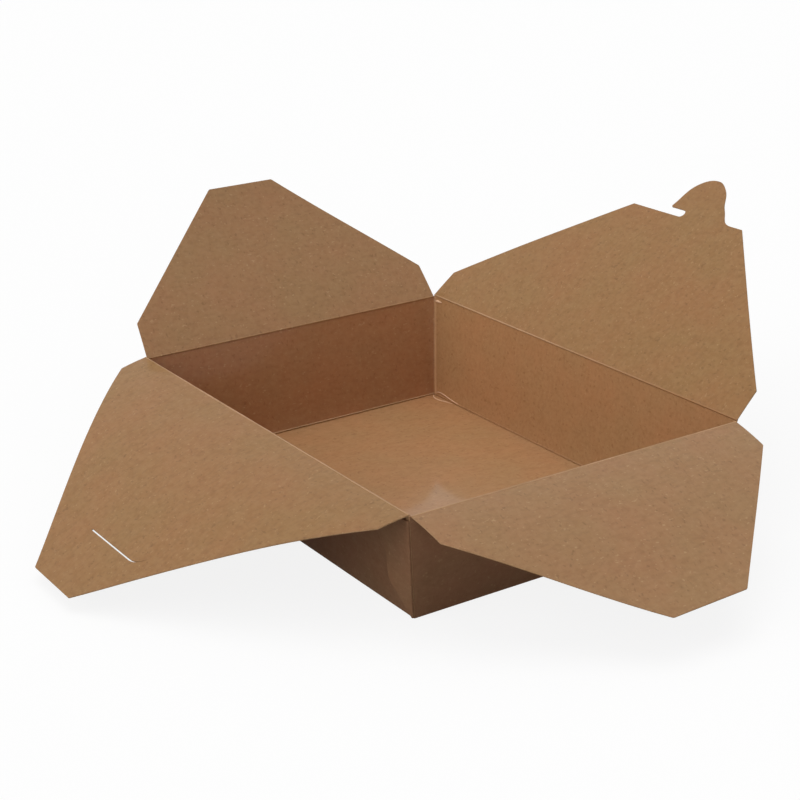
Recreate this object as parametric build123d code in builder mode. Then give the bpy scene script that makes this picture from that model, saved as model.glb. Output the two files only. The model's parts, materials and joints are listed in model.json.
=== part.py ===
"""Folding takeaway box of plain paperboard, standing open.

One die-cut sheet is folded into a flared tray with a folded web at each corner, and four lid flaps
turn on the scored creases along its rim: two end flaps, a flap with a slit and a flap with a hooked tab.
Millimetres. The origin is the centre of the underside, +X runs across the box, +Y along it and +Z up.
"""

import math
import os

from build123d import *

# Board
board = 0.45                # thickness of the paperboard
fold_round = 0.6            # outer radius where the board is folded

# Tray, measured over the outside of its walls
base_width = 142.0
base_length = 195.0
mouth_width = 158.4
mouth_length = 216.4
mouth_height = 48.0         # height of the long walls' creases above the table
web_angle = 23.0            # slant of a web's folded edge from the long wall's own up direction
web_drop = 2.2              # how far a web's top stays below the crease

# Clearances
crease_gap = 0.35           # between a flap's rounded hinge edge and the wall below it
end_drop = 0.7              # how much lower the end creases lie, so end flaps tuck under long flaps
notch_gap = 0.4             # beside an end flap, where the end wall's rim is cut down for it

# End flaps
end_inset = 2.0             # from the mouth's corner to the flap's side
end_shoulder = 17.4         # straight part of the side, before the 45 degree taper
end_reach = 77.4
end_half_tip = 17.0
back_flap_angle = 49.3      # above level, pointing outwards
front_flap_angle = -21.6

# Long flaps
long_inset = 1.4
slit_shoulder = 13.0
slit_reach = 103.7
slit_half_tip = 16.3
slit_flap_angle = -24.2
tab_shoulder = 14.6
tab_half_tip = 35.2
tab_flap_angle = 37.1

# Slit, cut across the slit flap parallel to its crease, with an end that curves to the crease
slit_height = 78.1          # from the crease
slit_width = 0.5
slit_start = -9.6
slit_bend = 24.6
slit_bend_radius = 9.8
slit_bend_turn = 55.0

# Hooked tab on the end of the tab flap
hook_edge = 83.0            # edge of the flap beside the hook
tab_edge = 85.6             # edge of the flap on the tab's other side
tab_reach = 107.6
hook_underside = 87.2
hook_root = -2.2            # deepest point of the notch under the hook
hook_tip = -13.1
hook_nose = 0.7             # radius of the hook's tip
tab_foot = 29.0             # where the tab's outer curve runs into the flap's edge

slope_x = (mouth_width - base_width) / 2 / mouth_height
slope_y = (mouth_length - base_length) / 2 / mouth_height
rim_height = mouth_height - board / 2 - crease_gap
end_crease_height = mouth_height - end_drop
end_rim_height = rim_height - end_drop
long_crease_x = mouth_width / 2 - board / 2
end_crease_y = mouth_length / 2 - board / 2 - end_drop * slope_y
end_flap_half_width = long_crease_x - end_inset
long_flap_half_length = mouth_length / 2 - board / 2 - long_inset


def box_section(height, inwards):
    """Rectangle of the tray's outside at a height, taken in by a distance on every side."""
    with BuildSketch(Plane.XY.offset(height)) as section:
        Rectangle(
            base_width + 2 * (slope_x * height - inwards),
            base_length + 2 * (slope_y * height - inwards),
        )
    return section


def flap_plane(crease_point, along, angle):
    """Plane of a flap: x runs along its crease, y out along the flap, z to the side that faces up."""
    crease = Vector(*along)
    level = Vector(0, 0, 1).cross(crease)
    out = level * math.cos(math.radians(angle)) + Vector(0, 0, math.sin(math.radians(angle)))
    return Plane(origin=crease_point, x_dir=crease, z_dir=crease.cross(out))


def plain_flap_outline(half_crease, shoulder, half_tip, reach):
    """Straight shoulders, then 45 degree tapers to a straight end."""
    Polyline(
        (-half_crease, 0),
        (-half_crease, shoulder),
        (-half_tip, reach),
        (half_tip, reach),
        (half_crease, shoulder),
        (half_crease, 0),
        close=True,
    )


def rounded_crease_edge(plane, half_crease):
    """Full round along the flap's crease, so that it turns beside the wall without touching it."""
    with Locations(plane):
        Cylinder(board / 2, 2 * half_crease, rotation=(0, 90, 0))


# Tray
with BuildPart() as tray:
    loft([box_section(0, 0).sketch, box_section(rim_height, 0).sketch])
    fillet(tray.faces().sort_by(Axis.Z)[0].edges(), fold_round)

    # Webs, each a double thickness folded flat against the outside of a long wall
    web_plane = Plane(origin=(base_width / 2, 0, 0), x_dir=(0, 1, 0), z_dir=(1, 0, -slope_x))
    wall_run = math.hypot(1, slope_x)
    web_height = (mouth_height - web_drop) * wall_run
    corner_lean = slope_y / wall_run
    with BuildSketch(web_plane):
        with BuildLine():
            Polyline(
                (base_length / 2, 0),
                (base_length / 2 + corner_lean * web_height, web_height),
                (base_length / 2 - math.tan(math.radians(web_angle)) * web_height, web_height),
                close=True,
            )
        make_face()
        mirror(about=Plane.YZ)
    web_layers = extrude(amount=2 * board)
    mirror(web_layers, about=Plane.YZ)

    loft([box_section(board, board).sketch, box_section(mouth_height, board).sketch], mode=Mode.SUBTRACT)

    # The end walls are cut lower between the corners
    with Locations((0, 0, end_rim_height)):
        Box(
            2 * (end_flap_half_width + notch_gap),
            2 * mouth_length,
            mouth_height,
            align=(Align.CENTER, Align.CENTER, Align.MIN),
            mode=Mode.SUBTRACT,
        )
tray.part.label = "tray"

# End flaps
back_plane = flap_plane((0, end_crease_y, end_crease_height), (1, 0, 0), back_flap_angle)
with BuildPart() as back_end_flap:
    with BuildSketch(back_plane):
        with BuildLine():
            plain_flap_outline(end_flap_half_width, end_shoulder, end_half_tip, end_reach)
        make_face()
    extrude(amount=board / 2, both=True)
    rounded_crease_edge(back_plane, end_flap_half_width)
back_end_flap.part.label = "back_end_flap"

front_plane = flap_plane((0, -end_crease_y, end_crease_height), (-1, 0, 0), front_flap_angle)
with BuildPart() as front_end_flap:
    with BuildSketch(front_plane):
        with BuildLine():
            plain_flap_outline(end_flap_half_width, end_shoulder, end_half_tip, end_reach)
        make_face()
    extrude(amount=board / 2, both=True)
    rounded_crease_edge(front_plane, end_flap_half_width)
front_end_flap.part.label = "front_end_flap"

# Slit flap
slit_plane = flap_plane((-long_crease_x, 0, mouth_height), (0, 1, 0), slit_flap_angle)
with BuildPart() as slit_flap:
    with BuildSketch(slit_plane):
        with BuildLine():
            plain_flap_outline(long_flap_half_length, slit_shoulder, slit_half_tip, slit_reach)
        make_face()
        with BuildLine() as slit:
            straight = Line((-slit_start, slit_height), (-slit_bend, slit_height))
            JernArc(straight @ 1, straight % 1, slit_bend_radius, slit_bend_turn)
        SlotArc(slit.wire(), slit_width, mode=Mode.SUBTRACT)
    extrude(amount=board / 2, both=True)
    rounded_crease_edge(slit_plane, long_flap_half_length)
slit_flap.part.label = "slit_flap"

# Tab flap
tab_plane = flap_plane((long_crease_x, 0, mouth_height), (0, -1, 0), tab_flap_angle)
notch_radius = (hook_underside - hook_edge) / 2
with BuildPart() as tab_flap:
    with BuildSketch(tab_plane):
        with BuildLine():
            flap_side = Polyline(
                (hook_root - notch_radius, hook_edge),
                (-tab_half_tip, hook_edge),
                (-long_flap_half_length, tab_shoulder),
                (-long_flap_half_length, 0),
                (long_flap_half_length, 0),
                (long_flap_half_length, tab_shoulder),
                (tab_half_tip, tab_edge),
                (tab_foot, tab_edge),
            )
            tab_curve = Spline(
                (tab_foot, tab_edge),
                (16.9, 93.4),
                (8.0, 104.0),
                (0, tab_reach),
                (-9.0, 103.0),
                (hook_tip, hook_underside + hook_nose),
                tangents=[(-1, 0.1), (0, -1)],
            )
            nose = JernArc(tab_curve @ 1, (0, -1), hook_nose, 90)
            underside = Line(nose @ 1, (hook_root - notch_radius, hook_underside))
            JernArc(underside @ 1, (1, 0), notch_radius, -180)
        make_face()
    extrude(amount=board / 2, both=True)
    rounded_crease_edge(tab_plane, long_flap_half_length)
tab_flap.part.label = "tab_flap"

os.makedirs("parts", exist_ok=True)
for piece in (tray, back_end_flap, front_end_flap, slit_flap, tab_flap):
    export_step(piece.part, f"parts/{piece.part.label}.step")
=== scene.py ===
import json
import math

import bmesh
import bpy
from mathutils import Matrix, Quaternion, Vector

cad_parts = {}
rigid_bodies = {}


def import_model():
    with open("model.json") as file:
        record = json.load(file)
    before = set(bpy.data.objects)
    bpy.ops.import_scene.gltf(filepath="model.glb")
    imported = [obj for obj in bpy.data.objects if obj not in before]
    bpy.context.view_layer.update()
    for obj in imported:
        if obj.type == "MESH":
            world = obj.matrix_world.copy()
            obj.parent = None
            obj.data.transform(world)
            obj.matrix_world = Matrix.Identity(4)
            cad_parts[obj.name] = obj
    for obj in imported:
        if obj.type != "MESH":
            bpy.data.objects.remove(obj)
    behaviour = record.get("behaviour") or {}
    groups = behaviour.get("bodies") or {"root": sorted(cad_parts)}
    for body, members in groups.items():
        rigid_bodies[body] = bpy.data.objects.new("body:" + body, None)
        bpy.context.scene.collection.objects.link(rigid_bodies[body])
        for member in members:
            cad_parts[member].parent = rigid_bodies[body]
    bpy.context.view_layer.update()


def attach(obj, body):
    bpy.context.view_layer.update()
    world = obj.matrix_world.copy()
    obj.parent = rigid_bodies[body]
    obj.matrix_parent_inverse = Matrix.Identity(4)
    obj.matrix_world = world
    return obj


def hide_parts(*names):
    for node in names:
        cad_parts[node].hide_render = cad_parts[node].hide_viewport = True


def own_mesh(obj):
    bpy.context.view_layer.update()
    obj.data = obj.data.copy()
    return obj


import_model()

# Camera
# A long lens stands off the near corner, on the slit flap's side, and looks down into the open box.
# It is rolled a degree and a half.
camera_place = Vector((-0.39377, -0.59392, 0.30735))
camera_aim = Vector((0.50654, 0.78863, -0.34854))
camera_roll = math.radians(-1.443)
bpy.ops.object.camera_add(location=camera_place)
camera = bpy.context.object
camera.name = "camera"
camera.rotation_mode = "QUATERNION"
camera.rotation_quaternion = camera_aim.to_track_quat("-Z", "Y") @ Quaternion((0, 0, 1), camera_roll)
camera.data.lens = 80.06
camera.data.sensor_width = 36.0
camera.data.clip_start = 0.05
camera.data.clip_end = 60.0
bpy.context.scene.camera = camera
bpy.context.scene.view_settings.view_transform = "Standard"

# Studio
# A pale floor in an even white surround, under broad soft lights: two overhead, one on the left and a
# low one in front. The surround shows white to the lens and in the gloss of the board, and is dim as
# a light.


class Wire:
    """An output of a shader node. Arithmetic on wires adds the nodes that work it out."""

    def __init__(self, tree, socket=None):
        self.tree = tree
        self.socket = socket

    def node(self, kind, settings=None, inputs=None, output=0):
        """Adds a node, sets it, fills its sockets with values or wires, and returns one output."""
        made = self.tree.nodes.new(kind)
        for name, value in (settings or {}).items():
            setattr(made, name, value)
        for name, value in (inputs or {}).items():
            if isinstance(value, Wire):
                self.tree.links.new(value.socket, made.inputs[name])
            else:
                made.inputs[name].default_value = value
        return Wire(self.tree, made.outputs[output] if made.outputs else None)

    def maths(self, operation, first, second):
        return self.node("ShaderNodeMath", {"operation": operation}, {0: first, 1: second})

    def __add__(self, other):
        return self.maths("ADD", self, other)

    def __radd__(self, other):
        return self.maths("ADD", other, self)

    def __sub__(self, other):
        return self.maths("SUBTRACT", self, other)

    def __rsub__(self, other):
        return self.maths("SUBTRACT", other, self)

    def __mul__(self, other):
        return self.maths("MULTIPLY", self, other)

    def __rmul__(self, other):
        return self.maths("MULTIPLY", other, self)

    def between(self, low, high):
        """0 below low, 1 above high and even between."""
        return self.node("ShaderNodeMapRange", {"clamp": True}, {0: self, 1: low, 2: high})


def blend_colours(share, first, second):
    """The first colour where share is 0 and the second where it is 1."""
    return share.node("ShaderNodeMix", {"data_type": "RGBA"}, {0: share, 6: first, 7: second}, output=2)


def seen_or_mirrored(tree):
    """1 for what is seen directly, in gloss or through clear things, and 0 for light on the object."""
    sight = Wire(tree)
    path = sight.node("ShaderNodeLightPath")
    outputs = path.socket.node.outputs
    return (
        Wire(tree, outputs["Is Camera Ray"])
        + Wire(tree, outputs["Is Glossy Ray"])
        + Wire(tree, outputs["Is Transmission Ray"])
    )


white = (1, 1, 1, 1)
surround_light = 0.10
world = bpy.data.worlds.new("surround")
bpy.context.scene.world = world
world.use_nodes = True
world.node_tree.nodes.clear()
seen = seen_or_mirrored(world.node_tree)
level = seen.between(0, 1) * (1 - surround_light) + surround_light
backdrop = level.node("ShaderNodeBackground", None, {"Color": white, "Strength": level})
backdrop.node("ShaderNodeOutputWorld", None, {"Surface": backdrop})

# direction each light comes from, how much it lights a surface that faces it, and its width in degrees
soft_lights = {
    "ceiling_light": (Vector((0.0, 0.0, 1.0)), 0.26, 130),
    "overhead_light": (Vector((0.0, 0.0, 1.0)), 0.38, 50),
    "left_light": (Vector((-1.0, 0.0, 0.45)), 0.36, 50),
    "front_fill": (Vector((-0.25, -1.0, 0.08)), 0.18, 24),
}
for name, (source, strength, width) in soft_lights.items():
    bpy.ops.object.light_add(type="SUN", location=source)
    lamp = bpy.context.object
    lamp.name = name
    lamp.rotation_mode = "QUATERNION"
    lamp.rotation_quaternion = (-source).to_track_quat("-Z", "Y")
    lamp.data.energy = strength * math.pi
    lamp.data.angle = math.radians(width)

mm = 0.001
floor_drop = 0.05 * mm
floor_size = 24.0
shadow_share = 0.13
floor_bounce = (0.46, 0.45, 0.44, 1)
bpy.ops.mesh.primitive_plane_add(size=floor_size, location=(0, 0, -floor_drop))
floor = bpy.context.object
floor.name = "studio_floor"
floor_finish = bpy.data.materials.new("pale_floor")
floor_finish.use_nodes = True
floor_finish.node_tree.nodes.clear()
seen = seen_or_mirrored(floor_finish.node_tree)
paint = seen.node("ShaderNodeBsdfDiffuse", None, {"Color": white})
glow = seen.node("ShaderNodeEmission", None, {"Color": white, "Strength": 1.0})
white_floor = seen.node("ShaderNodeMixShader", None, {0: 1 - shadow_share, 1: paint, 2: glow})
dim_paint = seen.node("ShaderNodeBsdfDiffuse", None, {"Color": floor_bounce})
surface = seen.node("ShaderNodeMixShader", None, {0: seen.between(0, 1), 1: dim_paint, 2: white_floor})
surface.node("ShaderNodeOutputMaterial", None, {"Surface": surface})
floor.data.materials.append(floor_finish)

# Tray
# One sheet of brown kraft board with a food film on its inside, folded up into four flared walls.
# Each fold was scored first, so a rounded bead of squeezed board runs along it on the film side.
board = 0.45 * mm
base_size = Vector((142.0, 195.0)) * mm
mouth_size = Vector((158.4, 216.4)) * mm
depth = 48.0 * mm
flare = (mouth_size - base_size) / 2 / depth
end_drop = 0.7 * mm
tiny = 0.01 * mm

cloud_low = 0.35
cloud_high = 0.65
deep_share = 0.30
roughness_spread = 0.06
tooth_strength = 0.10
tooth_height = 0.2 * mm
paper_gloss = 0.12
# fibres and flecks: scale, detail and stretch of their noise, where they start and are full, how
# strongly they tint, and with which shade
specks = (
    (560.0, 3.0, (1.0, 0.5, 1.0), 0.40, 0.70, 0.14, "pale"),
    (590.0, 3.0, (0.5, 1.0, 1.0), 0.45, 0.72, 0.20, "dark"),
    (700.0, 1.0, (1.0, 0.6, 0.8), 0.65, 0.73, 0.30, "dark"),
    (850.0, 1.0, (0.7, 1.0, 1.0), 0.67, 0.74, 0.42, "pale"),
)
# along the tab flap's crease, where its painted highlight has faded out and where it is full
highlight_none = -75.0 * mm
highlight_full = 35.0 * mm


def kraft(name, tint, roughness, film, grain, film_roughness=0.12, unhighlit_colour=None):
    """Brown kraft paper: cloudy pulp, fibres, flecks and a fine tooth, under a film or bare."""
    finish = bpy.data.materials.new(name)
    finish.use_nodes = True
    finish.node_tree.nodes.clear()
    start = Wire(finish.node_tree)
    place = start.node("ShaderNodeTexCoord", output="Object")

    def noise(scale, detail, stretch=None):
        spot = place
        if stretch:
            spot = place.node("ShaderNodeMapping", None, {"Vector": place, "Scale": stretch})
        return place.node("ShaderNodeTexNoise", None, {"Vector": spot, "Scale": scale, "Detail": detail})

    broad = noise(scale=38.0, detail=3.0).between(cloud_low, cloud_high)
    cloud = noise(scale=170.0, detail=3.0).between(cloud_low, cloud_high)
    pulp = blend_colours(broad, tint["warm"], tint["green"])
    pulp = blend_colours(cloud * deep_share, pulp, tint["deep"])
    for scale, detail, stretch, low, high, share, shade in specks:
        speck = noise(scale, detail, stretch).between(low, high)
        pulp = blend_colours(speck * share * grain, pulp, tint[shade])
    # a crease's painted highlight fades out along it to an unlit colour, where the crease lies in shade
    if unhighlit_colour:
        along = place.node("ShaderNodeSeparateXYZ", None, {0: place}, output=1)
        pulp = blend_colours(along.between(highlight_none, highlight_full), unhighlit_colour, pulp)

    tooth = noise(scale=900.0, detail=3.0) * 0.5 + noise(scale=300.0, detail=2.0) * 0.5
    bump_inputs = {"Strength": tooth_strength, "Distance": tooth_height, "Height": tooth}
    shader_inputs = {
        "Base Color": pulp,
        "Roughness": roughness + (cloud - 0.5) * roughness_spread,
        "Normal": tooth.node("ShaderNodeBump", None, bump_inputs),
        "Coat Weight": film,
        "Coat Roughness": film_roughness,
        "Specular IOR Level": paper_gloss,
    }
    shader = pulp.node("ShaderNodeBsdfPrincipled", None, shader_inputs)
    shader.node("ShaderNodeOutputMaterial", None, {"Surface": shader})
    return finish


brown = {
    "warm": (0.338, 0.168, 0.072, 1),
    "green": (0.318, 0.176, 0.073, 1),
    "deep": (0.285, 0.145, 0.058, 1),
    "dark": (0.130, 0.060, 0.023, 1),
    "pale": (0.480, 0.300, 0.150, 1),
}
# darker than the film side: the matt bare board, and partly painted shade for the outer walls under the
# flaps
dull_and_shaded_brown = {
    "warm": (0.258, 0.124, 0.067, 1),
    "green": (0.241, 0.129, 0.068, 1),
    "deep": (0.217, 0.109, 0.056, 1),
    "dark": (0.150, 0.072, 0.030, 1),
    "pale": (0.430, 0.265, 0.140, 1),
}
# paler: real cracked fibres at folds and the lighter core at cut edges, and a painted highlight along the
# creases
worn_and_highlit_brown = {
    "warm": (0.480, 0.275, 0.145, 1),
    "green": (0.370, 0.212, 0.098, 1),
    "deep": (0.405, 0.240, 0.122, 1),
    "dark": (0.200, 0.105, 0.048, 1),
    "pale": (0.560, 0.370, 0.215, 1),
}
# the tray's inside painted lighter than the flaps' film side, as painted light
lit_lined_brown = {
    "warm": (0.430, 0.215, 0.095, 1),
    "green": (0.404, 0.224, 0.100, 1),
    "deep": (0.355, 0.181, 0.078, 1),
    "dark": (0.150, 0.062, 0.024, 1),
    "pale": (0.500, 0.300, 0.150, 1),
}
# pale: partly board crushed at the corners, partly a painted highlight on the ridges
bruised_and_highlit_brown = {
    "warm": (0.740, 0.490, 0.310, 1),
    "green": (0.680, 0.440, 0.270, 1),
    "deep": (0.640, 0.400, 0.240, 1),
    "dark": (0.380, 0.220, 0.130, 1),
    "pale": (0.780, 0.620, 0.500, 1),
}
# the long flaps' film side painted darker than the end flaps', as painted shade
shaded_long_brown = {
    "warm": (0.312, 0.151, 0.057, 1),
    "green": (0.292, 0.158, 0.058, 1),
    "deep": (0.259, 0.127, 0.045, 1),
    "dark": (0.125, 0.056, 0.020, 1),
    "pale": (0.460, 0.280, 0.135, 1),
}
# the end walls' inside painted darker and redder, as painted shade
shaded_end_brown = {
    "warm": (0.342, 0.146, 0.062, 1),
    "green": (0.320, 0.151, 0.065, 1),
    "deep": (0.290, 0.126, 0.052, 1),
    "dark": (0.140, 0.056, 0.022, 1),
    "pale": (0.480, 0.270, 0.135, 1),
}
# painted light: a lighter strip up the long walls beside each corner
lit_strip_brown = {
    "warm": (0.545, 0.305, 0.155, 1),
    "green": (0.500, 0.290, 0.145, 1),
    "deep": (0.480, 0.265, 0.130, 1),
    "dark": (0.260, 0.135, 0.060, 1),
    "pale": (0.660, 0.440, 0.270, 1),
}
film_side = kraft("kraft_film_side", brown, roughness=0.55, film=0.28, grain=1.0)
shaded_long_side = kraft("kraft_film_side_of_long_flaps_painted_shade", shaded_long_brown, roughness=0.55, film=0.16, grain=1.0)
bruised_and_highlit_film = kraft("kraft_bruised_and_highlit_film", bruised_and_highlit_brown, roughness=0.50, film=0.10, grain=0.6)
lined_side = kraft("kraft_lined_inside", lit_lined_brown, roughness=0.50, film=0.32, grain=0.9)
shaded_lined_end = kraft("kraft_lined_ends_painted_shade", shaded_end_brown, roughness=0.50, film=0.28, grain=0.9)
lined_floor = kraft(
    "kraft_lined_floor", lit_lined_brown, roughness=0.50, film=0.45, grain=0.9, film_roughness=0.09
)
# the creases' pale line is partly a painted highlight
film_fold = kraft("kraft_film_side_at_folds", worn_and_highlit_brown, roughness=0.50, film=0.30, grain=0.6)
fading_highlit_fold = kraft(
    "kraft_fold_highlight_fading_at_one_end", worn_and_highlit_brown, roughness=0.50, film=0.30, grain=0.6, unhighlit_colour=shaded_long_brown["warm"]
)
bare_side = kraft("kraft_bare_side", dull_and_shaded_brown, roughness=0.80, film=0.0, grain=0.6)
bare_fold = kraft("kraft_bare_side_at_folds", worn_and_highlit_brown, roughness=0.72, film=0.0, grain=0.8)
cut_edge = kraft("kraft_cut_edge", worn_and_highlit_brown, roughness=0.85, film=0.0, grain=1.4)
lit_corner_film = kraft("kraft_lined_corners_painted_light", lit_strip_brown, roughness=0.50, film=0.30, grain=0.7)
bare_faces = (bare_side, bare_fold, cut_edge, cut_edge)


def choose(piece):
    """Selects one piece alone and makes it the active one."""
    bpy.ops.object.select_all(action="DESELECT")
    piece.select_set(True)
    bpy.context.view_layer.objects.active = piece


def open_mesh(piece):
    """Starts work on one piece alone, in edit mode with everything selected."""
    choose(piece)
    bpy.ops.object.mode_set(mode="EDIT")
    bpy.ops.mesh.select_all(action="SELECT")


def close_mesh():
    """Ends the work in edit mode."""
    bpy.ops.object.mode_set(mode="OBJECT")


def pick(kind, wanted):
    """Selects the vertices, edges or faces all of whose corners pass a test."""
    bpy.ops.mesh.select_mode(type=kind)
    bpy.ops.mesh.select_all(action="DESELECT")
    mesh = bpy.context.object.data
    work = bmesh.from_edit_mesh(mesh)
    if kind == "VERT":
        chosen = [corner for corner in work.verts if wanted(corner.co)]
    elif kind == "EDGE":
        chosen = [edge for edge in work.edges if all(wanted(corner.co) for corner in edge.verts)]
    else:
        chosen = [face for face in work.faces if all(wanted(corner.co) for corner in face.verts)]
    for part in chosen:
        part.select_set(True)
    bmesh.update_edit_mesh(mesh)


def bisect(place, normal, clear_outer=False):
    """Cuts the mesh in edit mode by a plane, and takes away what is beyond it if that is asked for."""
    bpy.ops.mesh.select_all(action="SELECT")
    bpy.ops.mesh.bisect(plane_co=place, plane_no=normal, clear_outer=clear_outer)


def rule_across(direction, start, end, step):
    """Divides the mesh in edit mode by parallel cuts, for the board's slight unevenness."""
    count = max(1, round((end - start) / step))
    for number in range(1, count):
        bisect(Vector(direction) * (start + (end - start) * number / count), direction)


def finish_modifier(piece, kind, settings, keep_live=False):
    """Adds a modifier with its settings, and applies it unless it is to stay live."""
    bpy.context.view_layer.objects.active = piece
    modifier = piece.modifiers.new(kind.lower(), kind)
    for name, value in settings.items():
        setattr(modifier, name, value)
    if not keep_live:
        bpy.ops.object.modifier_apply(modifier=modifier.name)


def unevenness(piece, size, amount, name):
    """Gives the board the slight waves of paper that has been folded and handled."""
    waves = bpy.data.textures.new(name, "CLOUDS")
    waves.noise_scale = size
    waves.noise_depth = 1
    settings = {"texture": waves, "texture_coords": "LOCAL", "strength": amount, "mid_level": 0.5}
    finish_modifier(piece, "DISPLACE", settings)


def smooth(piece, degrees=28):
    """Shades a piece smooth, apart from edges sharper than an angle."""
    choose(piece)
    bpy.ops.object.shade_smooth_by_angle(angle=math.radians(degrees))


def inside_half(height, side):
    """Half the tray's inside width (side 0) or length (side 1) at a height."""
    return base_size[side] / 2 + flare[side] * height - board


bead_step = 6.0 * mm
bead_wave_size = 12.0 * mm
bead_wave_height = 0.12 * mm
bead_cap_share = 0.4


def fold_bead(name, start, end, bead_radius, finish):
    """A scored fold: along it the board is squeezed into a rounded bead."""
    run = Vector(end) - Vector(start)
    half_run = run.length / 2
    bpy.ops.object.select_all(action="DESELECT")
    bpy.ops.mesh.primitive_cylinder_add(
        vertices=16, radius=bead_radius, depth=run.length, end_fill_type="NGON", location=(0, 0, 0)
    )
    bead = bpy.context.object
    bead.name = name
    bead.data.name = name
    open_mesh(bead)
    rule_across((0, 0, 1), -half_run, half_run, bead_step)
    pick("FACE", lambda spot: abs(spot.z) > half_run - tiny)
    bpy.ops.mesh.inset(thickness=bead_radius * bead_cap_share, use_even_offset=True)
    bpy.ops.mesh.select_more()
    close_mesh()
    bead.rotation_mode = "QUATERNION"
    bead.rotation_quaternion = run.to_track_quat("Z", "Y")
    bead.location = (Vector(start) + Vector(end)) / 2
    bpy.ops.object.transform_apply(location=True, rotation=True, scale=True)
    bead.rotation_mode = "XYZ"
    unevenness(bead, bead_wave_size, bead_wave_height, name + "_waves")
    bead.data.materials.append(finish)
    smooth(bead, 50)
    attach(bead, "tray")


# The sheet's inner face: a box with no top, flared, with its folds rounded
rim = depth - 0.38 * mm
fold_reach = 0.20 * mm
middle = (0, 0, (board + rim) / 2)
bpy.ops.object.select_all(action="DESELECT")
bpy.ops.mesh.primitive_cube_add(size=1, location=middle)
tray = bpy.context.object
tray.name = "folded_tray"
tray.data.name = "folded_tray"
open_mesh(tray)
foot_size = (2 * inside_half(board, 0), 2 * inside_half(board, 1), rim - board)
bpy.ops.transform.resize(value=foot_size, center_override=middle)
close_mesh()
bpy.ops.object.transform_apply(location=True, rotation=True, scale=True)
open_mesh(tray)
pick("FACE", lambda spot: spot.z > rim - tiny)
bpy.ops.transform.resize(
    value=(inside_half(rim, 0) / inside_half(board, 0), inside_half(rim, 1) / inside_half(board, 1), 1),
    center_override=(0, 0, rim),
)
bpy.ops.mesh.delete(type="ONLY_FACE")
bpy.ops.mesh.select_all(action="SELECT")
bpy.ops.mesh.normals_make_consistent(inside=True)
close_mesh()
for finish in (lined_side, lit_corner_film) + bare_faces + (lined_floor, shaded_lined_end):
    tray.data.materials.append(finish)
for finish in (bare_side, bare_side, cut_edge, cut_edge):
    tray.data.materials.append(finish)
lit_corner_zone = 1
floor_zone = 6
end_zone = 7
open_mesh(tray)
pick("EDGE", lambda spot: spot.z < board + tiny)
bottom_folds = [edge.index for edge in bmesh.from_edit_mesh(tray.data).edges if edge.select]
work = bmesh.from_edit_mesh(tray.data)
for edge in work.edges:
    run = edge.verts[1].co - edge.verts[0].co
    edge.select_set(edge.index in bottom_folds or abs(run.z) > depth / 2)
bmesh.update_edit_mesh(tray.data)
bpy.ops.mesh.bevel(
    offset=fold_reach, segments=3, profile=0.5, affect="EDGES", material=0, clamp_overlap=False
)

# Cuts across it, for the waves of the board, the notches in the end walls' rims and the strips beside
# the corners that are painted lighter, as painted light
cell = 9.0 * mm
notch_edge = 78.4 * mm
notch_slope = 0.1 * mm
lit_strip_width = 1.7 * mm
rule_across((1, 0, 0), -mouth_size.x / 2, mouth_size.x / 2, cell)
rule_across((0, 1, 0), -mouth_size.y / 2, mouth_size.y / 2, cell)
rule_across((0, 0, 1), 0, depth, cell)
for side in (-1, 1):
    bisect((side * notch_edge, 0, 0), (1, 0, 0))
    bisect((side * (notch_edge + notch_slope), 0, 0), (1, 0, 0))
for side in (-1, 1):
    bisect((0, side * (inside_half(board, 1) - lit_strip_width), board), (0, 1, -side * flare.y))
floor_normal = 0.9
end_normal = 0.7
work = bmesh.from_edit_mesh(tray.data)
for face in work.faces:
    if face.material_index > 0 or face.calc_area() < tiny * cell:
        continue
    middle = face.calc_center_median()
    if abs(face.normal.z) > floor_normal:
        face.material_index = floor_zone
    # the end walls' inside faces take the finish painted darker, as painted shade
    elif abs(face.normal.y) > end_normal:
        face.material_index = end_zone
    # faces beside the corners take the strip painted lighter, as painted light
    elif abs(middle.y) > inside_half(middle.z, 1) - lit_strip_width:
        face.material_index = lit_corner_zone
bmesh.update_edit_mesh(tray.data)


def on_end_rim(spot):
    """Whether a place is on an end wall's rim, between the corners."""
    at_end = abs(spot.y) > inside_half(rim, 1) - 0.2 * mm
    return at_end and spot.z > rim - tiny and abs(spot.x) < notch_edge + tiny


pick("VERT", on_end_rim)
bpy.ops.transform.translate(value=(0, 0, -end_drop))
close_mesh()
tray_wave_size = 70.0 * mm
tray_wave_height = 0.14 * mm
unevenness(tray, tray_wave_size, tray_wave_height, "tray_waves")

# The floor swells a little, which its folds hold down
swell_place = Vector((-25.0, -43.5)) * mm
swell_height = 1.6 * mm
swell_reach = 90.0 * mm
fold_hold = 40.0 * mm
floor_top = 1.5 * board
open_mesh(tray)
work = bmesh.from_edit_mesh(tray.data)
for corner in work.verts:
    if corner.co.z > floor_top:
        continue
    from_fold = min(inside_half(board, 0) - abs(corner.co.x), inside_half(board, 1) - abs(corner.co.y))
    held = min(1.0, max(0.0, from_fold / fold_hold))
    far = min(1.0, (corner.co.xy - swell_place).length / swell_reach)
    corner.co.z += swell_height * math.cos(far * math.pi / 2) ** 2 * held * held * (3 - 2 * held)
bmesh.update_edit_mesh(tray.data)
close_mesh()
# numbers of material slots from a face of the film side to the bare one and to the cut edge
bare_offset = 2
edge_offset = 4
thicken = {
    "thickness": board,
    "offset": -1,
    "use_even_offset": True,
    "material_offset": bare_offset,
    "material_offset_rim": edge_offset,
}
finish_modifier(tray, "SOLIDIFY", thicken)
smooth(tray)
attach(tray, "tray")
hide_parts("tray")

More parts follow.
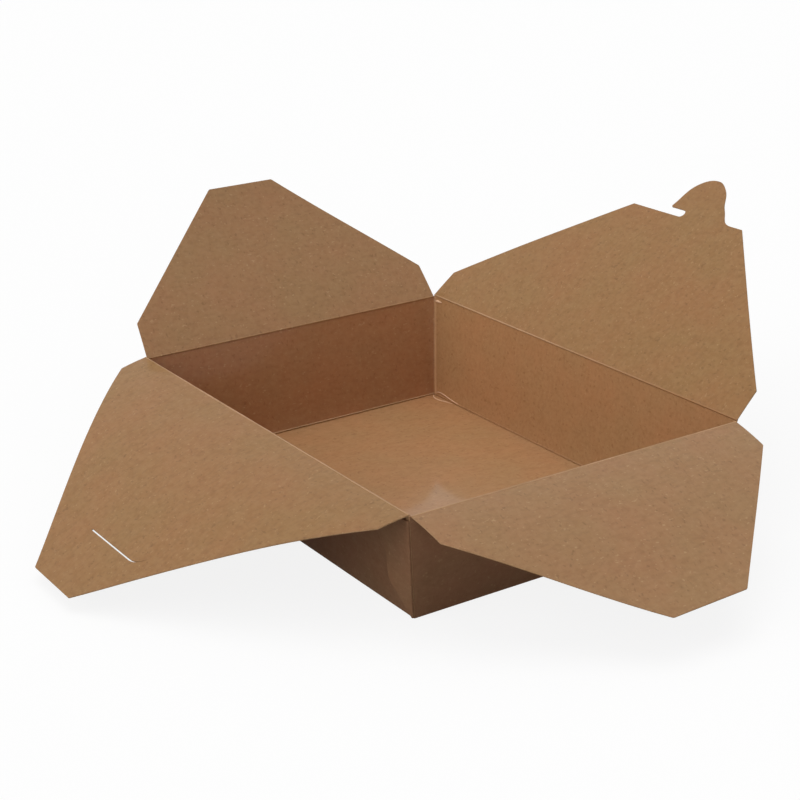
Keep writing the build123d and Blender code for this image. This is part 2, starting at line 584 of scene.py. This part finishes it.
# Beads along the floor's folds and up the corners, standing on the walls
bead_round = 0.34 * mm
side_bead_round = bead_round * 0.8
corner_bead_round = 0.30 * mm
bead_stand = 0.56 * mm
bead_in = 0.12 * mm
low = board + bead_stand
high = rim - end_drop - 0.3 * mm
low_x = inside_half(low, 0) - bead_in
low_y = inside_half(low, 1) - bead_in
high_x = inside_half(high, 0) - bead_in
high_y = inside_half(high, 1) - bead_in
corners = {"front_left": (-1, -1), "back_left": (-1, 1), "front_right": (1, -1), "back_right": (1, 1)}
for name, side in (("back", 1), ("front", -1)):
    left_end = (-low_x, side * low_y, low)
    right_end = (low_x, side * low_y, low)
    fold_bead(name + "_floor_fold", left_end, right_end, bead_round, film_fold)
for name, side in (("left", -1), ("right", 1)):
    near_end = (side * low_x, -low_y, low)
    far_end = (side * low_x, low_y, low)
    fold_bead(name + "_floor_fold", near_end, far_end, side_bead_round, lined_side)
for name, (side_x, side_y) in corners.items():
    foot = (side_x * low_x, side_y * low_y, low)
    head = (side_x * high_x, side_y * high_y, high)
    fold_bead(name + "_corner_fold", foot, head, corner_bead_round, lined_side)

ridge_taper = 0.25


def pressed_ridge(name, places, thickness):
    """A small curved ridge where the board was crushed as the corner was folded up; its pale tint is partly
    a painted highlight.
    """
    bpy.ops.curve.primitive_bezier_curve_add()
    ridge = bpy.context.object
    ridge.name = name
    ridge.data.name = name
    ridge.data.dimensions = "3D"
    spline = ridge.data.splines[0]
    spline.bezier_points.add(len(places) - len(spline.bezier_points))
    for number, (knot, place) in enumerate(zip(spline.bezier_points, places)):
        knot.handle_left_type = "AUTO"
        knot.handle_right_type = "AUTO"
        knot.co = place
        knot.radius = ridge_taper if number in (0, len(places) - 1) else 1.0
    spline.resolution_u = 6
    ridge.data.bevel_depth = thickness
    ridge.data.bevel_resolution = 2
    ridge.data.use_fill_caps = True
    choose(ridge)
    bpy.ops.object.convert(target="MESH")
    ridge = bpy.context.object
    ridge.data.materials.clear()
    ridge.data.materials.append(bruised_and_highlit_film)
    open_mesh(ridge)
    bpy.ops.mesh.normals_make_consistent(inside=False)
    close_mesh()
    smooth(ridge, 60)
    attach(ridge, "tray")


# Ridges crushed into the film beside the corners, in millimetres: distance from the corner along the
# long wall, and out over the floor or up the wall
floor_arc = ((0.5, 0.5), (2.0, 1.9), (4.5, 3.0), (8.0, 3.1), (12.5, 1.9), (17.0, 0.7))
wall_arc = ((0.5, 0.8), (3.5, 1.9), (8.0, 2.0), (13.0, 1.3), (19.0, 0.8), (24.0, 0.5))
top_arc = ((0.8, 45.0), (3.2, 45.2), (6.4, 45.3))
crush_round = 0.24 * mm
top_highlight_round = 0.75 * mm
ridge_stand = 0.08 * mm
for name, (side_x, side_y) in corners.items():
    places = []
    for along, out in floor_arc:
        place_x = side_x * (inside_half(board, 0) - out * mm)
        place_y = side_y * (inside_half(board, 1) - along * mm)
        places.append((place_x, place_y, board + ridge_stand))
    pressed_ridge(name + "_floor_crush", places, crush_round)
    wall_ridges = [("_wall_crush", wall_arc, crush_round)]
    # the top ridge at the back right corner is a painted highlight: a pale glossy ridge just below the tab
    # flap's crease
    if name == "back_right":
        wall_ridges.append(("_top_highlight_ridge", top_arc, top_highlight_round))
    for kind, arc, ridge_round in wall_ridges:
        places = []
        for along, up in arc:
            height = board + up * mm
            place_x = side_x * (inside_half(height, 0) - ridge_stand)
            place_y = side_y * (inside_half(height, 1) - along * mm)
            places.append((place_x, place_y, height))
        pressed_ridge(name + kind, places, ridge_round)

# Corner webs
# The spare board at each corner is folded double and laid flat against the outside of the long wall.
# Nothing holds its folded edge, so it springs off the wall a little, lower down.
web_slant = math.radians(23.0)
web_top = depth - 2.2 * mm
web_foot = 1.3 * mm
web_lap = 0.10 * mm
web_merge = 0.35 * mm
web_edge_round = 0.30 * mm
web_columns = 18
web_rows = 24
lean_x = math.atan(flare.x)
web_height = web_top / math.cos(lean_x)
web_width = web_height * math.tan(web_slant)
corner_slope = flare.y * math.cos(lean_x)
bpy.ops.object.select_all(action="DESELECT")
bpy.ops.mesh.primitive_grid_add(
    x_subdivisions=web_columns, y_subdivisions=web_rows, size=1, location=(0, 0, 0)
)
web = bpy.context.object
web.name = "corner_web"
web.data.name = "corner_web"
open_mesh(web)
bpy.ops.transform.translate(value=(0.5, 0.5, 0))
bpy.ops.transform.resize(
    value=(web_width + corner_slope * web_height, web_height, 1), center_override=(0, 0, 0)
)
bpy.ops.transform.translate(value=(-corner_slope * web_height, 0, 0))
bisect((0, 0, 0), (math.cos(web_slant), -math.sin(web_slant), 0), clear_outer=True)
bisect((0, 0, 0), (-1, -corner_slope, 0), clear_outer=True)
bpy.ops.mesh.select_all(action="SELECT")
bpy.ops.mesh.remove_doubles(threshold=web_merge)
bisect((0, web_foot, 0), (0, -1, 0), clear_outer=True)
close_mesh()
for number in range(edge_offset + 2):
    web.data.materials.append(bare_side)
thicken = {
    "thickness": 2 * board,
    "offset": 0.0,
    "material_offset": bare_offset,
    "material_offset_rim": edge_offset,
}
finish_modifier(web, "SOLIDIFY", thicken)
round_edges = {
    "width": web_edge_round,
    "segments": 3,
    "limit_method": "ANGLE",
    "angle_limit": math.radians(50),
}
finish_modifier(web, "BEVEL", round_edges)
smooth(web, 40)

# how far up the web, as a share of its height, the spring is greatest and where it ends, and how far
# each web springs
spring_peak = 0.36
spring_end = 0.56
spring_of = {
    "front_left": 3.0 * mm,
    "back_left": 2.2 * mm,
    "front_right": 1.4 * mm,
    "back_right": 1.8 * mm,
}


def set_web(piece, side_x, side_y, spring):
    """Stands a web against the outside of a long wall, at one corner of the base."""
    for corner in piece.data.vertices:
        across, up, off = corner.co
        share = up / web_height
        rise = max(0.0, min(share / spring_peak, (spring_end - share) / (spring_end - spring_peak)))
        corner_edge = -corner_slope * up
        folded_edge = math.tan(web_slant) * up
        reach = min(1.0, max(0.0, (across - corner_edge) / (folded_edge - corner_edge)))
        off += spring * rise * reach
        stand = off + board
        corner.co.x = side_x * (base_size.x / 2 + math.sin(lean_x) * up + math.cos(lean_x) * stand)
        corner.co.y = side_y * (base_size.y / 2 + web_lap - across)
        corner.co.z = math.cos(lean_x) * up - math.sin(lean_x) * stand
    open_mesh(piece)
    bpy.ops.mesh.normals_make_consistent(inside=False)
    close_mesh()
    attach(piece, "tray")


for name, (side_x, side_y) in corners.items():
    copy = web.copy()
    copy.data = web.data.copy()
    copy.name = "web_" + name
    bpy.context.collection.objects.link(copy)
    set_web(copy, side_x, side_y, spring_of[name])
bpy.data.objects.remove(web)
roll_round = 0.60 * mm
roll_foot = 0.8 * mm
for name, (side_x, side_y) in corners.items():
    ends = []
    for height in (roll_foot, web_top):
        out_x = base_size.x / 2 + flare.x * height + 2 * board - roll_round
        out_y = base_size.y / 2 + flare.y * height + web_lap - roll_round
        ends.append((side_x * out_x, side_y * out_y, height))
    fold_bead(name + "_web_fold", ends[0], ends[1], roll_round, bare_side)

# End flaps
# Two short lid flaps, one on the rim of each end wall, cut with 45 degree tapers.
# Each bends up from its crease and curls a little, as board does after it has been folded back.
crease_round = 0.42 * mm
row_step = 4.5 * mm
column_step = 9.0 * mm
corner_steps = 4


def rounded_outline(points, radii):
    """Closed outline with each corner rounded by its own radius, as a cutting rule leaves them."""
    smooth_points = []
    for number, (corner, radius) in enumerate(zip(points, radii)):
        here = Vector(corner)
        before = Vector(points[number - 1]) - here
        after = Vector(points[(number + 1) % len(points)]) - here
        half_angle = before.angle(after) / 2
        cut = radius / math.tan(half_angle)
        first = here + before.normalized() * cut
        last = here + after.normalized() * cut
        for step in range(corner_steps + 1):
            share = step / corner_steps
            pull = here * 2 * share * (1 - share)
            smooth_points.append(first * (1 - share) ** 2 + pull + last * share ** 2)
    return smooth_points


def die_cut(name, outlines):
    """Draws the cutting die's lines as flat closed curves and turns what they enclose into a sheet."""
    drawing = bpy.data.curves.new(name, "CURVE")
    drawing.dimensions = "2D"
    drawing.fill_mode = "BOTH"
    for outline in outlines:
        line = drawing.splines.new("POLY")
        line.points.add(len(outline) - 1)
        for knot, place in zip(line.points, outline):
            knot.co = (place[0], place[1], 0, 1)
        line.use_cyclic_u = True
    sheet = bpy.data.objects.new(name, drawing)
    bpy.context.collection.objects.link(sheet)
    choose(sheet)
    bpy.ops.object.convert(target="MESH")
    sheet = bpy.context.object
    open_mesh(sheet)
    bpy.ops.mesh.remove_doubles(threshold=tiny)
    bpy.ops.mesh.normals_make_consistent(inside=False)
    close_mesh()
    if sheet.data.polygons[0].normal.z < 0:
        open_mesh(sheet)
        bpy.ops.mesh.flip_normals()
        close_mesh()
    return sheet


def bow_slope(share, lift, tip_rise):
    """Slope of the bowed sheet against its chord: lift at the crease (0), tip_rise at the far edge (1)."""
    return lift * (1 - 4 * share + 3 * share ** 2) - tip_rise * (2 * share - 3 * share ** 2)


def bow_sheet(sheet, reach, lift, tip_rise, twist=0.0):
    """Twists a flat sheet a little, then bends it strip by strip, the farthest strip first."""
    open_mesh(sheet)
    count = round(reach / row_step)
    slopes = [bow_slope((number + 0.5) / count, lift, tip_rise) for number in range(count)]
    shortening = sum(math.cos(math.atan(slope)) for slope in slopes) / count
    bpy.ops.transform.resize(value=(1, 1 / shortening, 1), center_override=(0, 0, 0))
    reach = reach / shortening
    rows = [reach * number / count for number in range(count)]
    for row in rows[1:]:
        bisect((0, row, 0), (0, 1, 0))
    widest = max(corner.co.x for corner in bmesh.from_edit_mesh(sheet.data).verts)
    rule_across((1, 0, 0), -widest, widest, column_step)
    work = bmesh.from_edit_mesh(sheet.data)
    for corner in work.verts:
        corner.co.z += twist * corner.co.x * (corner.co.y / reach) ** 2
    bmesh.update_edit_mesh(sheet.data)
    half = 0.5 / count
    for row in reversed(rows):
        share = row / reach
        before = math.atan(bow_slope(share - half, lift, tip_rise)) if row > 0 else 0.0
        after = math.atan(bow_slope(share + half, lift, tip_rise))
        pick("VERT", lambda spot: spot.y > row + tiny)
        bpy.ops.transform.rotate(value=-(after - before), orient_axis="X", center_override=(0, row, 0))
    close_mesh()


flap_wave_size = 60.0 * mm
flap_wave_height = 0.5 * mm


def hang_flap(sheet, node, angle, steeper, heading, crease_point, upper_side):
    """Puts a bowed sheet on its crease, gives it the board's thickness and hangs it on its body.

    The angle above level is the flat flap's, and the bowed sheet stands a little steeper or flatter.
    """
    unevenness(sheet, flap_wave_size, flap_wave_height, node + "_waves")
    open_mesh(sheet)
    bpy.ops.mesh.select_mode(type="EDGE")
    bpy.ops.mesh.select_all(action="DESELECT")
    bpy.ops.mesh.select_non_manifold()
    bpy.ops.mesh.mark_sharp()
    close_mesh()
    for finish in (upper_side, film_fold) + bare_faces:
        sheet.data.materials.append(finish)
    turned = sheet.rotation_euler
    turned.x = math.radians(angle + steeper)
    turned.z = math.radians(heading)
    sheet.location = crease_point
    choose(sheet)
    bpy.ops.object.transform_apply(location=True, rotation=True, scale=True)
    thicken = {
        "thickness": board,
        "offset": 0.0,
        "material_offset": bare_offset,
        "material_offset_rim": edge_offset,
    }
    finish_modifier(sheet, "SOLIDIFY", thicken, keep_live=True)
    smooth(sheet)
    out = Vector((0, 1, 0))
    out.rotate(Quaternion((0, 0, 1), math.radians(heading)))
    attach(sheet, node)
    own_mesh(sheet)
    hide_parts(node)


end_crease = mouth_size.y / 2 - board / 2 - end_drop * flare.y
end_level = depth - end_drop
# half a flap's width at its shoulders, and at its crease, where it is a little wider
end_half = 76.975 * mm
end_root = 78.2 * mm
end_shoulder = 17.4 * mm
end_half_tip = 17.0 * mm
end_reach = 77.4 * mm
root_round = 0.3 * mm
shoulder_round = 1.4 * mm
end_corners = (
    (-end_root, 0),
    (end_root, 0),
    (end_half, end_shoulder),
    (end_half_tip, end_reach),
    (-end_half_tip, end_reach),
    (-end_half, end_shoulder),
)
end_outline = rounded_outline(end_corners, (root_round,) * 2 + (shoulder_round,) * 4)
back_flap = die_cut("back_end_lid", [end_outline])
bow_sheet(back_flap, end_reach, lift=0.060, tip_rise=0.057)
hang_flap(
    back_flap,
    "back_end_flap",
    angle=49.3,
    steeper=0.71,
    heading=0,
    crease_point=Vector((0, end_crease, end_level)),
    upper_side=film_side,
)
front_flap = die_cut("front_end_lid", [end_outline])
bow_sheet(front_flap, end_reach, lift=0.186, tip_rise=0.024, twist=-0.045)
hang_flap(
    front_flap,
    "front_end_flap",
    angle=-21.6,
    steeper=0.67,
    heading=180,
    crease_point=Vector((0, -end_crease, end_level)),
    upper_side=film_side,
)
for name, side, finish in (("back_crease", 1, film_side), ("front_crease", -1, film_fold)):
    left_end = (-end_root, side * end_crease, end_level)
    right_end = (end_root, side * end_crease, end_level)
    fold_bead(name, left_end, right_end, crease_round, finish)

# Slit flap
# The long lid flap with the slit that takes the tab, on the near long wall.
# It has been bent well back, so it curls down most of all.
long_crease = mouth_size.x / 2 - board / 2
long_half = 106.575 * mm
long_root = 107.7 * mm
slit_shoulder = 12.6 * mm
slit_half_tip = 16.3 * mm
slit_reach = 103.7 * mm
tip_round = 1.2 * mm
slit_corners = (
    (-long_root, 0),
    (long_root, 0),
    (long_half, slit_shoulder),
    (slit_half_tip, slit_reach),
    (-slit_half_tip, slit_reach),
    (-long_half, slit_shoulder),
)
slit_outline = rounded_outline(slit_corners, (root_round,) * 2 + (tip_round,) * 4)

# The slit runs along the flap and curls towards the crease at one end, where it closes up
slit_start = 9.6 * mm
slit_level = 78.1 * mm
slit_half_gap = 0.30 * mm
slit_closing = 0.8
slit_bend = -24.6 * mm
bend_radius = 9.8 * mm
bend_turn = math.radians(55)
arc_steps = 8
slit_line = [Vector((slit_start, slit_level))]
for step in range(arc_steps + 1):
    turn = bend_turn * step / arc_steps
    across = slit_bend - bend_radius * math.sin(turn)
    along = slit_level - bend_radius * (1 - math.cos(turn))
    slit_line.append(Vector((across, along)))
one_side = []
other_side = []
for number, place in enumerate(slit_line):
    ahead = slit_line[min(number + 1, len(slit_line) - 1)] - slit_line[max(number - 1, 0)]
    across = Vector((-ahead.y, ahead.x)).normalized()
    narrowing = 1.0 if number < 2 else 1.0 - slit_closing * (number - 1) / (len(slit_line) - 2)
    one_side.append(place + across * slit_half_gap * narrowing)
    other_side.append(place - across * slit_half_gap * narrowing)
slit_flap = die_cut("slit_lid", [slit_outline, one_side + other_side[::-1]])
bow_sheet(slit_flap, slit_reach, lift=0.285, tip_rise=-0.086)
hang_flap(
    slit_flap,
    "slit_flap",
    angle=-24.2,
    steeper=0.36,
    heading=90,
    crease_point=Vector((-long_crease, 0, depth)),
    upper_side=shaded_long_side,
)
near_end = (-long_crease, -long_root, depth)
far_end = (-long_crease, long_root, depth)
fold_bead("slit_side_crease", near_end, far_end, crease_round, film_fold)

# Tab flap
# The long lid flap with the hooked tab that passes through the slit, on the far long wall.
# It leans well out and is almost straight.
hook_edge = 83.0 * mm
hook_underside = 87.2 * mm
hook_root = -2.2 * mm
notch_radius = (hook_underside - hook_edge) / 2
tab_shoulder = 14.6 * mm
tab_half_tip = 35.2 * mm
tab_foot = 29.0 * mm
tab_edge = 85.6 * mm
tab_reach = 107.6 * mm
tab_body = [
    Vector((-tab_half_tip, hook_edge)),
    Vector((-long_half, tab_shoulder)),
    Vector((-long_root, 0)),
    Vector((long_root, 0)),
    Vector((long_half, tab_shoulder)),
    Vector((tab_half_tip, tab_edge)),
    Vector((tab_foot, tab_edge)),
]
bpy.ops.curve.primitive_bezier_curve_add()
tab_rule = bpy.context.object
tab_rule.data.dimensions = "2D"
tab_spline = tab_rule.data.splines[0]
# the tab's outer edge in millimetres, across the flap and out from its crease, from its foot to its hook
tab_knots = ((29.0, 85.6), (16.9, 93.4), (8.0, 104.0), (0.0, 107.6), (-9.0, 103.0), (-13.1, 87.9))
tab_spline.bezier_points.add(len(tab_knots) - len(tab_spline.bezier_points))
for knot, (across, along) in zip(tab_spline.bezier_points, tab_knots):
    knot.handle_left_type = "AUTO"
    knot.handle_right_type = "AUTO"
    knot.co = (across * mm, along * mm, 0)
tab_spline.bezier_points[0].handle_right_type = "FREE"
tab_spline.bezier_points[0].handle_right = (22.0 * mm, 85.2 * mm, 0)
tab_spline.resolution_u = 8
choose(tab_rule)
bpy.ops.object.convert(target="MESH")
tab_curve = [Vector((corner.co.x, corner.co.y)) for corner in bpy.context.object.data.vertices]
bpy.data.objects.remove(bpy.context.object)
hook_nose = -12.4 * mm
tab_outline = tab_body + tab_curve[1:]
tab_outline.append(Vector((hook_nose, hook_underside)))
for step in range(arc_steps + 1):
    turn = math.pi * step / arc_steps
    across = hook_root - notch_radius + notch_radius * math.sin(turn)
    along = hook_underside - notch_radius * (1 - math.cos(turn))
    tab_outline.append(Vector((across, along)))
tab_flap = die_cut("tab_lid", [tab_outline])
bow_sheet(tab_flap, tab_reach, lift=0.091, tip_rise=-0.021)
hang_flap(
    tab_flap,
    "tab_flap",
    angle=37.1,
    steeper=-0.24,
    heading=-90,
    crease_point=Vector((long_crease, 0, depth)),
    upper_side=shaded_long_side,
)
near_end = (long_crease, -long_root, depth)
far_end = (long_crease, long_root, depth)
# the crease's painted highlight fades out towards the front corner, which lies in shade
fold_bead("tab_side_crease", near_end, far_end, crease_round, fading_highlit_fold)
